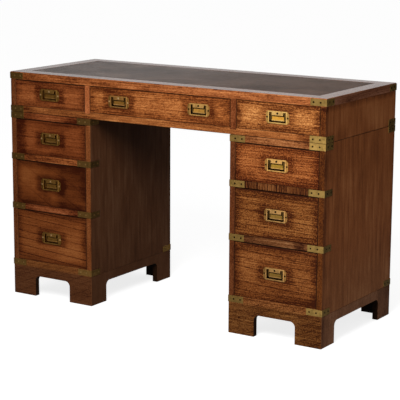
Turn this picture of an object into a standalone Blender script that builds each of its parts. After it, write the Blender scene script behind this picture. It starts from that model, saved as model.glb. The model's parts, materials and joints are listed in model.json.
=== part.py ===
"""Kneehole pedestal desk in the campaign style, in metres, +Z up.

The front faces -Y, and the origin is on the floor under the middle of the desk. A frieze of three
drawers rests on two pedestals of three drawers each. Every drawer slides out along -Y, and every
handle has a bail that swings out of its recessed plate.
"""

import math

import bmesh
import bpy
from mathutils import Matrix

# Plan sizes
PEDESTAL_WIDTH = 0.337
KNEEHOLE_WIDTH = 0.545
CASE_DEPTH = 0.479
TOP_OVERHANG = 0.0005

# Heights, from the floor up
BASE_HEIGHT = 0.103
RAIL_THICKNESS = 0.022
LOWER_OPENING = 0.179
MIDDLE_OPENING = 0.151
UPPER_OPENING = 0.121
FRIEZE_OPENING = 0.089
TOP_THICKNESS = 0.026

# Case boards
SIDE_THICKNESS = 0.020
DIVIDER_THICKNESS = 0.022
BACK_THICKNESS = 0.012
BACK_LIP = 0.010
HOUSING_DEPTH = 0.006
EDGE_EASE = 0.0010

# Leather writing surface
LEATHER_BORDER = 0.052
LEATHER_RECESS = 0.0020
LEATHER_THICKNESS = 0.0015

# Bracket feet
BASE_BOARD = 0.020
APRON_HEIGHT = 0.031
ARCH_RADIUS = 0.018
FRONT_FOOT_WIDTH = 0.094
SIDE_FOOT_WIDTH = 0.085

# Drawers
DRAWER_FRONT = 0.020
DRAWER_WALL = 0.010
DRAWER_BOTTOM = 0.006
DRAWER_HEADROOM = 0.012
DRAWER_BACK_SPACE = 0.010
DRAWER_SIDE_GAP = 0.0010
DRAWER_TOP_GAP = 0.0018
RUNNING_GAP = 0.0004
CENTRE_HANDLE_INSET = 0.1175

# Handle plates
TONGUE_WIDTH = 0.040
TONGUE_HEIGHT = 0.0092
TONGUE_GAP = 0.0032
FINGER_GAP = 0.0048
RIM_WALL = 0.0035
RIM_PROUD = 0.0021
PLATE_MARGIN = 0.0010
PLATE_THICKNESS = 0.0012
EAR_WIDTH = 0.008
EAR_CHAMFER = 0.0072
RECESS_DEPTH = 0.0125
CUP_FLOOR = 0.0012

# Handle bails
BAIL_THICKNESS = 0.0034
BAIL_SET_BACK = 0.0045
BAIL_CORNER = 0.0034
GRIP_HEIGHT = 0.0138
GRIP_SLOT = 0.0022
BAR_HEIGHT = 0.0045
ARM_WIDTH = 0.0035
ARM_WALL_GAP = 0.0033
ARM_TONGUE_GAP = 0.0027
PIVOT_SET_BACK = 0.0002
SWING_CLEARANCE = 0.0004
PIN_RADIUS = 0.0012
PIN_CLEARANCE = 0.0003
PIN_END_GAP = 0.0006

# Construction
JOINT_GAP = 0.0003
CUT_PAST = 0.005
ARC_STEPS = 6
PIN_SIDES = 16

# Levels and lines worked out from the sizes above
FRONT = -CASE_DEPTH / 2
BACK = CASE_DEPTH / 2
PANEL_FACE = BACK - BACK_THICKNESS
LOWER_FLOOR = BASE_HEIGHT + RAIL_THICKNESS
LOWER_RAIL = LOWER_FLOOR + LOWER_OPENING
MIDDLE_FLOOR = LOWER_RAIL + RAIL_THICKNESS
UPPER_RAIL = MIDDLE_FLOOR + MIDDLE_OPENING
UPPER_FLOOR = UPPER_RAIL + RAIL_THICKNESS
PEDESTAL_LID = UPPER_FLOOR + UPPER_OPENING
PEDESTAL_HEIGHT = PEDESTAL_LID + RAIL_THICKNESS
FRIEZE_BASE = PEDESTAL_HEIGHT + JOINT_GAP
FRIEZE_FLOOR = FRIEZE_BASE + RAIL_THICKNESS
TOP_UNDERSIDE = FRIEZE_FLOOR + FRIEZE_OPENING
DESK_HEIGHT = TOP_UNDERSIDE + TOP_THICKNESS
CASE_WIDTH = KNEEHOLE_WIDTH + 2 * PEDESTAL_WIDTH
DESK_WIDTH = CASE_WIDTH + 2 * TOP_OVERHANG
DESK_DEPTH = CASE_DEPTH + 2 * TOP_OVERHANG
PEDESTAL_OFFSET = (KNEEHOLE_WIDTH + PEDESTAL_WIDTH) / 2

RECESS_WIDTH = TONGUE_WIDTH + 2 * (ARM_TONGUE_GAP + ARM_WIDTH + ARM_WALL_GAP)
RECESS_HEIGHT = TONGUE_HEIGHT + TONGUE_GAP + GRIP_HEIGHT + FINGER_GAP
RIM_WIDTH = RECESS_WIDTH + 2 * RIM_WALL
RIM_HEIGHT = RECESS_HEIGHT + 2 * RIM_WALL
PLATE_WIDTH = RIM_WIDTH + 2 * EAR_WIDTH
PLATE_HEIGHT = RIM_HEIGHT + 2 * PLATE_MARGIN
CUP_BACK = RECESS_DEPTH + CUP_FLOOR - RIM_PROUD
HALF_BAIL = BAIL_THICKNESS / 2
PIVOT_DROP = math.hypot(HALF_BAIL + PIVOT_SET_BACK, HALF_BAIL) + SWING_CLEARANCE
PIVOT_HEIGHT = RECESS_HEIGHT / 2 - PIVOT_DROP
PIVOT_DEPTH = BAIL_SET_BACK + HALF_BAIL + PIVOT_SET_BACK - RIM_PROUD


def make_material(name, colour, roughness, metallic=0.0):
    """A plain surface with one colour."""
    material = bpy.data.materials.new(name)
    material.use_nodes = True
    shader = material.node_tree.nodes["Principled BSDF"]
    shader.inputs["Base Color"].default_value = (*colour, 1.0)
    shader.inputs["Roughness"].default_value = roughness
    shader.inputs["Metallic"].default_value = metallic
    material.diffuse_color = (*colour, 1.0)
    return material


def make_empty(name, location, parent=None):
    """A named point that pieces are parented to."""
    empty = bpy.data.objects.new(name, None)
    empty.location = location
    empty.parent = parent
    bpy.context.collection.objects.link(empty)
    return empty


def make_object(name, bm, location, parent, material=None):
    """One object from a finished bmesh. With no material it is a hidden cutting or joining tool."""
    bmesh.ops.recalc_face_normals(bm, faces=bm.faces)
    mesh = bpy.data.meshes.new(name)
    bm.to_mesh(mesh)
    bm.free()
    piece = bpy.data.objects.new(name, mesh)
    piece.location = location
    piece.parent = parent
    bpy.context.collection.objects.link(piece)
    if material is None:
        piece.hide_render = True
        piece.display_type = "WIRE"
    else:
        mesh.materials.append(material)
    return piece


def add_box(name, xs, ys, zs, parent, material=None, ease=0.0):
    """A box between two limits on each axis, with its edges eased if asked."""
    limits = (xs, ys, zs)
    size = [high - low for low, high in limits]
    middle = [(high + low) / 2 for low, high in limits]
    bm = bmesh.new()
    bmesh.ops.create_cube(bm, size=1.0)
    bmesh.ops.scale(bm, vec=size, verts=bm.verts)
    if ease:
        bmesh.ops.bevel(bm, geom=bm.edges[:], offset=ease, segments=1, affect="EDGES")
    return make_object(name, bm, middle, parent, material)


def add_board(name, xs, ys, zs, parent, material):
    """A planed board with eased edges."""
    return add_box(name, xs, ys, zs, parent, material, EDGE_EASE)


def add_prism(name, outline, ys, parent, material=None, location=(0, 0, 0), turn=0.0):
    """An outline in X and Z, extruded along Y, then turned about Z if asked."""
    bm = bmesh.new()
    near = [bm.verts.new((x, ys[0], z)) for x, z in outline]
    face = bm.faces.new(near)
    grown = bmesh.ops.extrude_face_region(bm, geom=[face])
    far = [item for item in grown["geom"] if isinstance(item, bmesh.types.BMVert)]
    bmesh.ops.translate(bm, vec=(0, ys[1] - ys[0], 0), verts=far)
    bmesh.ops.rotate(bm, cent=(0, 0, 0), matrix=Matrix.Rotation(turn, 3, "Z"), verts=bm.verts)
    return make_object(name, bm, location, parent, material)


def add_rod(name, radius, xs, location, parent):
    """A hidden round rod along X, used to join or to bore."""
    bm = bmesh.new()
    along = Matrix.Translation((sum(xs) / 2, 0, 0)) @ Matrix.Rotation(math.pi / 2, 4, "Y")
    bmesh.ops.create_cone(
        bm,
        cap_ends=True,
        segments=PIN_SIDES,
        radius1=radius,
        radius2=radius,
        depth=xs[1] - xs[0],
        matrix=along,
    )
    return make_object(name, bm, location, parent)


def combine(target, tool, operation="DIFFERENCE"):
    """Cut a tool out of a piece, or join it on."""
    boolean = target.modifiers.new(tool.name, "BOOLEAN")
    boolean.operation = operation
    boolean.solver = "EXACT"
    boolean.object = tool


def cut_box(target, label, xs, ys, zs):
    """Cut a box out of a piece, given in the space of the piece's parent."""
    combine(target, add_box(f"{target.name}_{label}", xs, ys, zs, target.parent))


def arc(centre, radius, start, end):
    """Points round a corner, from one angle to another in degrees."""
    points = []
    for step in range(ARC_STEPS + 1):
        angle = math.radians(start + (end - start) * step / ARC_STEPS)
        points.append((centre[0] + radius * math.cos(angle), centre[1] + radius * math.sin(angle)))
    return points


def arch_outline(width, height):
    """A foot arch that runs below the floor line, with rounded upper corners."""
    half = width / 2
    radius = min(ARCH_RADIUS, height, half)
    outline = [(-half, -CUT_PAST), (half, -CUT_PAST)]
    outline += arc((half - radius, height - radius), radius, 0, 90)
    outline += arc((radius - half, height - radius), radius, 90, 180)
    return outline


def add_plinth(name, parent, material):
    """The bottom board of a pedestal with its bracket-foot frame, glued up as one unit."""
    half = PEDESTAL_WIDTH / 2
    plinth = add_board(name, (-half, half), (FRONT, BACK), (0, LOWER_FLOOR), parent, material)
    inside = half - BASE_BOARD
    hollow_ys = (FRONT + BASE_BOARD, BACK - BASE_BOARD)
    cut_box(plinth, "hollow", (-inside, inside), hollow_ys, (-CUT_PAST, BASE_HEIGHT))
    step = half - SIDE_THICKNESS + HOUSING_DEPTH
    above = (BASE_HEIGHT, LOWER_FLOOR + CUT_PAST)
    through = (FRONT - CUT_PAST, BACK + CUT_PAST)
    cut_box(plinth, "left_step", (-half - CUT_PAST, -step), through, above)
    cut_box(plinth, "right_step", (step, half + CUT_PAST), through, above)
    behind = (PANEL_FACE - JOINT_GAP, BACK + CUT_PAST)
    cut_box(plinth, "back_step", (-half - CUT_PAST, half + CUT_PAST), behind, above)
    arch_height = BASE_HEIGHT - APRON_HEIGHT
    front_arch = arch_outline(PEDESTAL_WIDTH - 2 * FRONT_FOOT_WIDTH, arch_height)
    combine(plinth, add_prism(f"{name}_front_arch", front_arch, through, parent))
    side_arch = arch_outline(CASE_DEPTH - 2 * SIDE_FOOT_WIDTH, arch_height)
    across = (-half - CUT_PAST, half + CUT_PAST)
    combine(plinth, add_prism(f"{name}_side_arch", side_arch, across, parent, turn=math.pi / 2))


def add_case_side(name, sign, outer, zs, board_levels, parent, material):
    """An upright case side, housed for the level boards and rebated for the back panel.

    The sign says which way the outer face looks along X.
    """
    inner = outer - sign * SIDE_THICKNESS
    side = add_board(name, sorted((outer, inner)), (FRONT, BACK), zs, parent, material)
    inward = inner - sign * CUT_PAST
    groove = sorted((inner + sign * (HOUSING_DEPTH + JOINT_GAP), inward))
    through = (FRONT - CUT_PAST, BACK + CUT_PAST)
    for label, low, high in board_levels:
        cut_box(side, label, groove, through, (low, high))
    rebate = sorted((outer - sign * BACK_LIP, inward))
    behind = (PANEL_FACE - JOINT_GAP, BACK + CUT_PAST)
    cut_box(side, "rebate", rebate, behind, (zs[0] - CUT_PAST, zs[1] + CUT_PAST))


def add_case_back(name, half_width, zs, parent, material):
    """A back panel let into the rebates of the sides."""
    half = half_width - BACK_LIP - JOINT_GAP
    add_board(name, (-half, half), (PANEL_FACE, BACK), zs, parent, material)


def add_level_board(name, half_width, zs, parent, material):
    """A level board whose ends sit in the housings of the sides."""
    half = half_width - SIDE_THICKNESS + HOUSING_DEPTH
    board_ys = (FRONT, PANEL_FACE - JOINT_GAP)
    return add_board(name, (-half, half), board_ys, zs, parent, material)


def plate_outline():
    """The handle plate: a rectangle with its four corners clipped into ears."""
    half_width = PLATE_WIDTH / 2
    half_height = PLATE_HEIGHT / 2
    ear_x = half_width - EAR_CHAMFER
    ear_z = half_height - EAR_CHAMFER
    corners = [(half_width, ear_z), (ear_x, half_height), (-ear_x, half_height), (-half_width, ear_z)]
    return corners + [(-x, -z) for x, z in corners]


def recess_outline():
    """The handle recess: a slot on each side of the tongue, joined below it."""
    half_width = RECESS_WIDTH / 2
    half_height = RECESS_HEIGHT / 2
    half_tongue = TONGUE_WIDTH / 2
    tongue_end = half_height - TONGUE_HEIGHT
    right = [
        (half_width, -half_height),
        (half_width, half_height),
        (half_tongue, half_height),
        (half_tongue, tongue_end),
    ]
    return right + [(-x, z) for x, z in reversed(right)]


def bail_outline():
    """The bail, measured from its pivot: two arms, a bar across the foot and a grip above the bar."""
    arm_outer = RECESS_WIDTH / 2 - ARM_WALL_GAP
    arm_inner = arm_outer - ARM_WIDTH
    half_grip = arm_inner - GRIP_SLOT
    foot = FINGER_GAP - RECESS_HEIGHT / 2 - PIVOT_HEIGHT
    bar_top = foot + BAR_HEIGHT
    grip_top = foot + GRIP_HEIGHT
    right = arc((arm_outer - BAIL_CORNER, foot + BAIL_CORNER), BAIL_CORNER, -90, 0)
    right += [
        (arm_outer, HALF_BAIL),
        (arm_inner, HALF_BAIL),
        (arm_inner, bar_top),
        (half_grip, bar_top),
        (half_grip, grip_top),
    ]
    return right + [(-x, z) for x, z in reversed(right)]


def add_handle(name, parent, x, z, material):
    """A recessed handle: its plate with cup and tongue, and the bail on stub pins in the cup's walls."""
    place = (x, 0, z)
    flange_ys = (-PLATE_THICKNESS - JOINT_GAP, -JOINT_GAP)
    plate = add_prism(f"{name}_plate", plate_outline(), flange_ys, parent, material, place)
    half_rim = RIM_WIDTH / 2
    half_height = RIM_HEIGHT / 2
    cup_xs = (x - half_rim, x + half_rim)
    cup_zs = (z - half_height, z + half_height)
    cup = add_box(f"{name}_cup", cup_xs, (-RIM_PROUD, CUP_BACK), cup_zs, parent)
    combine(plate, cup, "UNION")
    recess_ys = (-RIM_PROUD - CUT_PAST, RECESS_DEPTH - RIM_PROUD)
    recess = add_prism(f"{name}_recess", recess_outline(), recess_ys, parent, location=place)
    combine(plate, recess)

    pivot = (x, PIVOT_DEPTH, z + PIVOT_HEIGHT)
    bail_front = -HALF_BAIL - PIVOT_SET_BACK
    bail_ys = (bail_front, bail_front + BAIL_THICKNESS)
    bail = add_prism(f"{name}_bail", bail_outline(), bail_ys, parent, material, pivot)
    arm_outer = RECESS_WIDTH / 2 - ARM_WALL_GAP
    arm_middle = arm_outer - ARM_WIDTH / 2
    pin_end = half_rim - PIN_END_GAP
    wall_inside = RECESS_WIDTH / 2 - ARM_WALL_GAP / 2
    for label, sign in (("left", -1), ("right", 1)):
        pin_xs = sorted((sign * arm_middle, sign * pin_end))
        pin = add_rod(f"{name}_{label}_pin", PIN_RADIUS, pin_xs, pivot, parent)
        combine(bail, pin, "UNION")
        bore_xs = sorted((sign * wall_inside, sign * (half_rim + CUT_PAST)))
        bore_radius = PIN_RADIUS + PIN_CLEARANCE
        combine(plate, add_rod(f"{name}_{label}_bore", bore_radius, bore_xs, pivot, parent))
    for piece in (plate, bail):
        piece.data.shade_smooth()
        piece.data.set_sharp_from_angle(angle=math.radians(30))


def add_drawer(name, parent, x, floor, width, height, handles, materials):
    """A drawer in an opening: the front with its mortises, the glued-up box and the handles."""
    drawer = make_empty(f"{name}_drawer", (x, FRONT, floor), parent)
    half = width / 2 - DRAWER_SIDE_GAP
    front_zs = (RUNNING_GAP, height - DRAWER_TOP_GAP)
    front = add_board(
        f"{name}_drawer_front", (-half, half), (0, DRAWER_FRONT), front_zs, drawer, materials["front"]
    )
    handle_height = height / 2
    mortise_half = RIM_WIDTH / 2 + JOINT_GAP
    mortise_rise = RIM_HEIGHT / 2 + JOINT_GAP
    mortise_zs = (handle_height - mortise_rise, handle_height + mortise_rise)
    for label, offset in handles:
        mortise_xs = (offset - mortise_half, offset + mortise_half)
        cut_box(front, f"{label}mortise", mortise_xs, (-CUT_PAST, CUP_BACK + JOINT_GAP), mortise_zs)
        add_handle(f"{name}_{label}handle", drawer, offset, handle_height, materials["brass"])

    box_front = DRAWER_FRONT + JOINT_GAP
    box_back = PANEL_FACE - FRONT - DRAWER_BACK_SPACE
    box_top = height - DRAWER_HEADROOM
    box_zs = (RUNNING_GAP, box_top)
    box = add_board(
        f"{name}_drawer_box", (-half, half), (box_front, box_back), box_zs, drawer, materials["inside"]
    )
    inside = half - DRAWER_WALL
    inside_ys = (box_front - CUT_PAST, box_back - DRAWER_WALL)
    inside_zs = (RUNNING_GAP + DRAWER_BOTTOM, box_top + CUT_PAST)
    cut_box(box, "inside", (-inside, inside), inside_ys, inside_zs)


def add_pedestal(name, sign, materials):
    """A pedestal: two sides, a back, level boards, the plinth and three drawers."""
    pedestal = make_empty(f"{name}_pedestal", (sign * PEDESTAL_OFFSET, 0, 0))
    case = materials["case"]
    half = PEDESTAL_WIDTH / 2
    upright_zs = (BASE_HEIGHT + JOINT_GAP, PEDESTAL_HEIGHT)
    board_levels = [
        ("foot_rebate", BASE_HEIGHT - CUT_PAST, LOWER_FLOOR + JOINT_GAP),
        ("lower_housing", LOWER_RAIL - JOINT_GAP, MIDDLE_FLOOR + JOINT_GAP),
        ("upper_housing", UPPER_RAIL - JOINT_GAP, UPPER_FLOOR + JOINT_GAP),
        ("lid_rebate", PEDESTAL_LID - JOINT_GAP, PEDESTAL_HEIGHT + CUT_PAST),
    ]
    for label, side in (("outer", sign), ("inner", -sign)):
        side_name = f"{name}_pedestal_{label}_side"
        add_case_side(side_name, side, side * half, upright_zs, board_levels, pedestal, case)
    add_case_back(f"{name}_pedestal_back", half, upright_zs, pedestal, case)
    add_plinth(f"{name}_pedestal_plinth", pedestal, case)
    boards = [
        ("lower_dust_board", LOWER_RAIL),
        ("upper_dust_board", UPPER_RAIL),
        ("top_board", PEDESTAL_LID),
    ]
    for label, low in boards:
        board_zs = (low, low + RAIL_THICKNESS)
        add_level_board(f"{name}_pedestal_{label}", half, board_zs, pedestal, case)
    drawers = [
        ("lower", LOWER_FLOOR, LOWER_OPENING),
        ("middle", MIDDLE_FLOOR, MIDDLE_OPENING),
        ("upper", UPPER_FLOOR, UPPER_OPENING),
    ]
    opening_width = PEDESTAL_WIDTH - 2 * SIDE_THICKNESS
    for label, floor, height in drawers:
        drawer_name = f"{name}_{label}"
        add_drawer(drawer_name, pedestal, 0, floor, opening_width, height, [("", 0)], materials)


def add_frieze(materials):
    """The frieze: two ends, a back, a bottom board, two dividers and three drawers."""
    frieze = make_empty("frieze", (0, 0, 0))
    case = materials["case"]
    half = CASE_WIDTH / 2
    upright_zs = (FRIEZE_BASE, TOP_UNDERSIDE - JOINT_GAP)
    board_levels = [("bottom_rebate", FRIEZE_BASE - CUT_PAST, FRIEZE_FLOOR + JOINT_GAP)]
    for label, sign in (("left", -1), ("right", 1)):
        end_name = f"frieze_{label}_end"
        add_case_side(end_name, sign, sign * half, upright_zs, board_levels, frieze, case)
    add_case_back("frieze_back", half, upright_zs, frieze, case)
    bottom_zs = (FRIEZE_BASE, FRIEZE_FLOOR)
    bottom = add_level_board("frieze_bottom_board", half, bottom_zs, frieze, case)
    knee = KNEEHOLE_WIDTH / 2
    divider_foot = FRIEZE_FLOOR - HOUSING_DEPTH
    for label, sign in (("left", -1), ("right", 1)):
        divider_xs = sorted((sign * knee, sign * (knee + DIVIDER_THICKNESS)))
        housing_xs = (divider_xs[0] - JOINT_GAP, divider_xs[1] + JOINT_GAP)
        housing_ys = (FRONT - CUT_PAST, PANEL_FACE + CUT_PAST)
        housing_zs = (divider_foot - JOINT_GAP, FRIEZE_FLOOR + CUT_PAST)
        cut_box(bottom, f"{label}_housing", housing_xs, housing_ys, housing_zs)
        divider_ys = (FRONT, PANEL_FACE - JOINT_GAP)
        divider_zs = (divider_foot, upright_zs[1])
        add_board(f"frieze_{label}_divider", divider_xs, divider_ys, divider_zs, frieze, case)

    outer = half - SIDE_THICKNESS
    inner = knee + DIVIDER_THICKNESS
    side_width = outer - inner
    side_place = (outer + inner) / 2
    handle_offset = knee - CENTRE_HANDLE_INSET
    pair = [("left_", -handle_offset), ("right_", handle_offset)]
    drawers = [
        ("frieze_left", -side_place, side_width, [("", 0)]),
        ("frieze_centre", 0, KNEEHOLE_WIDTH, pair),
        ("frieze_right", side_place, side_width, [("", 0)]),
    ]
    for name, x, width, handles in drawers:
        add_drawer(name, frieze, x, FRIEZE_FLOOR, width, FRIEZE_OPENING, handles, materials)


def add_top(materials):
    """The top board, recessed for the leather, and the leather in it."""
    half_width = DESK_WIDTH / 2
    half_depth = DESK_DEPTH / 2
    top_zs = (TOP_UNDERSIDE, DESK_HEIGHT)
    top_ys = (-half_depth, half_depth)
    top = add_board("top_board", (-half_width, half_width), top_ys, top_zs, None, materials["case"])
    recess_x = half_width - LEATHER_BORDER
    recess_y = half_depth - LEATHER_BORDER
    recess_floor = DESK_HEIGHT - LEATHER_RECESS
    recess_zs = (recess_floor, DESK_HEIGHT + CUT_PAST)
    cut_box(top, "recess", (-recess_x, recess_x), (-recess_y, recess_y), recess_zs)
    leather_x = recess_x - JOINT_GAP
    leather_y = recess_y - JOINT_GAP
    leather_low = recess_floor + JOINT_GAP
    leather_zs = (leather_low, leather_low + LEATHER_THICKNESS)
    leather_ys = (-leather_y, leather_y)
    add_box("leather_inset", (-leather_x, leather_x), leather_ys, leather_zs, None, materials["leather"])


def main():
    for old in list(bpy.data.objects):
        bpy.data.objects.remove(old)
    materials = {
        "case": make_material("polished_case_wood", (0.15, 0.050, 0.016), 0.35),
        "front": make_material("polished_front_wood", (0.28, 0.095, 0.026), 0.32),
        "inside": make_material("pale_drawer_wood", (0.46, 0.29, 0.15), 0.65),
        "leather": make_material("dark_leather", (0.060, 0.050, 0.043), 0.45),
        "brass": make_material("aged_brass", (0.60, 0.42, 0.16), 0.38, 1.0),
    }
    for name, sign in (("left", -1), ("right", 1)):
        add_pedestal(name, sign, materials)
    add_frieze(materials)
    add_top(materials)


main()
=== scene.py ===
"""Looks of the campaign pedestal desk: wood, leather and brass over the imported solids.

Straps, screws and the leather sheet are added here. Lengths are in metres, +Z is up and the front faces
-Y. Colours are written as sRGB values from 0 to 255.
"""

import json
import math
from collections import defaultdict, namedtuple

import bmesh
import bpy
from mathutils import Matrix, Vector, noise

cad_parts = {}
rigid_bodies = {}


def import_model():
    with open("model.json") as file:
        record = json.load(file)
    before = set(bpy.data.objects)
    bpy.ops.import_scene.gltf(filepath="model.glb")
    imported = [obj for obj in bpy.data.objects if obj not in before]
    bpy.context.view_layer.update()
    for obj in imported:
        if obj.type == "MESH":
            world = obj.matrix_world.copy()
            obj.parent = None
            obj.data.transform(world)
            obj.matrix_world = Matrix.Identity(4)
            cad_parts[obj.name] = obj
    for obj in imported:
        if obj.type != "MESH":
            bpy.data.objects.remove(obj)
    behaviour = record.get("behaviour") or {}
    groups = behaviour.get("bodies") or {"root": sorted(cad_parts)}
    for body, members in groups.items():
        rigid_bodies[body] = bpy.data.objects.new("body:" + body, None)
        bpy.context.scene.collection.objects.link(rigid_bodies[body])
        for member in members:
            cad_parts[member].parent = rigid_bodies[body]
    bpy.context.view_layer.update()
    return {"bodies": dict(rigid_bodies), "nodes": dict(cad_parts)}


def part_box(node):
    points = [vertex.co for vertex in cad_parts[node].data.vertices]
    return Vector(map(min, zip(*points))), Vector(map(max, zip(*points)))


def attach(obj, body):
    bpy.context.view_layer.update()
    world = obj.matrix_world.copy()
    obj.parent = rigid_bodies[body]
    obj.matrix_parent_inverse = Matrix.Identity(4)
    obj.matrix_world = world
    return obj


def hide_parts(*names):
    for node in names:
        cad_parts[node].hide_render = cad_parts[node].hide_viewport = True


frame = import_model()
nodes = frame["nodes"]
scene = bpy.context.scene

# Camera, fitted to the desk's corners in the photograph
IMAGE_SIDE = 400
CAMERA_AZIMUTH = math.radians(32.7242)
CAMERA_ELEVATION = math.radians(11.5974)
CAMERA_ROLL = math.radians(0.3418)
CAMERA_DISTANCE = 5.038
CAMERA_TARGET = Vector((0.0086, 0.0, 0.3613))
FOCAL_PIXELS = 1489.2
SENSOR_WIDTH = 36.0

# Studio
FLOOR_SIZE = 300.0
FLOOR_DROP = 0.0004
WORLD_LEVEL = 0.36
FLOOR_GLOW = 0.8
FLOOR_DIFFUSE = 0.5
FLOOR_BOUNCE = 0.25
KEY_PLACE = Vector((0.70, -1.75, 1.80))
KEY_AIM = Vector((0.40, -0.24, 0.55))
KEY_SIZE = 0.9
KEY_POWER = 38.0

# Dark cards that only reflections see: how bright each looks, and its corners
CARDS = {
    "floor_card": (0.10, [(-6, -0.8, 0), (-6, -5, 0), (-2.9, -5, 0), (0.1, -1.1, 0), (-1, -0.8, 0)]),
    "near_card": (0.26, [(-6, -0.24, 0), (-6, -0.8, 0), (-1, -0.8, 0), (0.1, -1.1, 0), (0.75, -0.24, 0)]),
    "back_card": (0.10, [(-6, 8, 0), (-6, -0.24, 0), (6, -0.24, 0), (6, 8, 0)]),
    "left_card": (0.03, [(-1.8, -2.7, 0), (-1.8, -0.4, 0), (-1.8, -0.4, 3), (-1.8, -2.7, 3)]),
    "right_card": (0.02, [(0.3, 2.2, 0), (6, 2.2, 0), (6, 2.2, 3), (0.3, 2.2, 3)]),
}

# Straps, a hair off the wood, and screws, at shares of each leg of a strap
STRAP_THICKNESS = 0.001
STRAP_SEAT = 0.00005
STRAP_HEIGHT = 0.0212
STRAP_EASE = 0.0003
STRAP_FRONT_LEG = 0.055
STRAP_SIDE_LEG = 0.049
SCREW_PLACES = (0.36, 0.8)
SCREW_RADIUS = 0.0029
SCREW_BASE = 0.0002
SCREW_RISE = 0.00035
SLOT_WIDTH = 0.0007
SCREW_SIDES = 20
SCREW_SEED = 5.0
EAR_SCREW = 0.0042
EAR_FACE = 0.0015
TONGUE_SCREW = 0.0126
TONGUE_SCREW_RADIUS = 0.0034

# Turns of the slots, in radians: strap to strap, screw to screw, front to side and tongue to tongue
STRAP_TURN = 0.7
SCREW_TURN = 1.9
SIDE_TURN = 0.8
TONGUE_TURN = 0.4

# Edges
WELD_DISTANCE = 0.00002
FINE_EDGE = 0.0005
DRAWER_EDGE = 0.001
EDGE_SEGMENTS = 2
EDGE_ANGLE = math.radians(30)
RAIL_HEIGHT = 0.022

# The leather's form: points near its edges, cells between them, turned-down edges and uneven waves
LEATHER_STEPS = (0, 0.0004, 0.001, 0.0018, 0.003)
LEATHER_CELL = 0.02
LEATHER_ROLL = 0.0007
LEATHER_WAVE = 0.0001
LEATHER_WAVES = 24

# How deep the tone of a face reaches into a board: from the front or back, and from the ends or top, with
# its fade, and the fade at the foot of a plinth's rail
FACE_SKIN = 0.0015
END_SKIN = 0.0006
SKIN_FADE = 0.0002
PLINTH_FADE = 0.006

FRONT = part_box("left_pedestal_inner_side")[0].y
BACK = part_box("left_pedestal_inner_side")[1].y
STILE = FRONT + FACE_SKIN


def linear(colour):
    """Scene-linear colour from sRGB values."""
    steps = [value / 255 for value in colour]
    return [step / 12.92 if step <= 0.04045 else ((step + 0.055) / 1.055) ** 2.4 for step in steps]


def scaled(colour, factors):
    """Each value times its own factor."""
    return [value * factor for value, factor in zip(colour, factors)]


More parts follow.
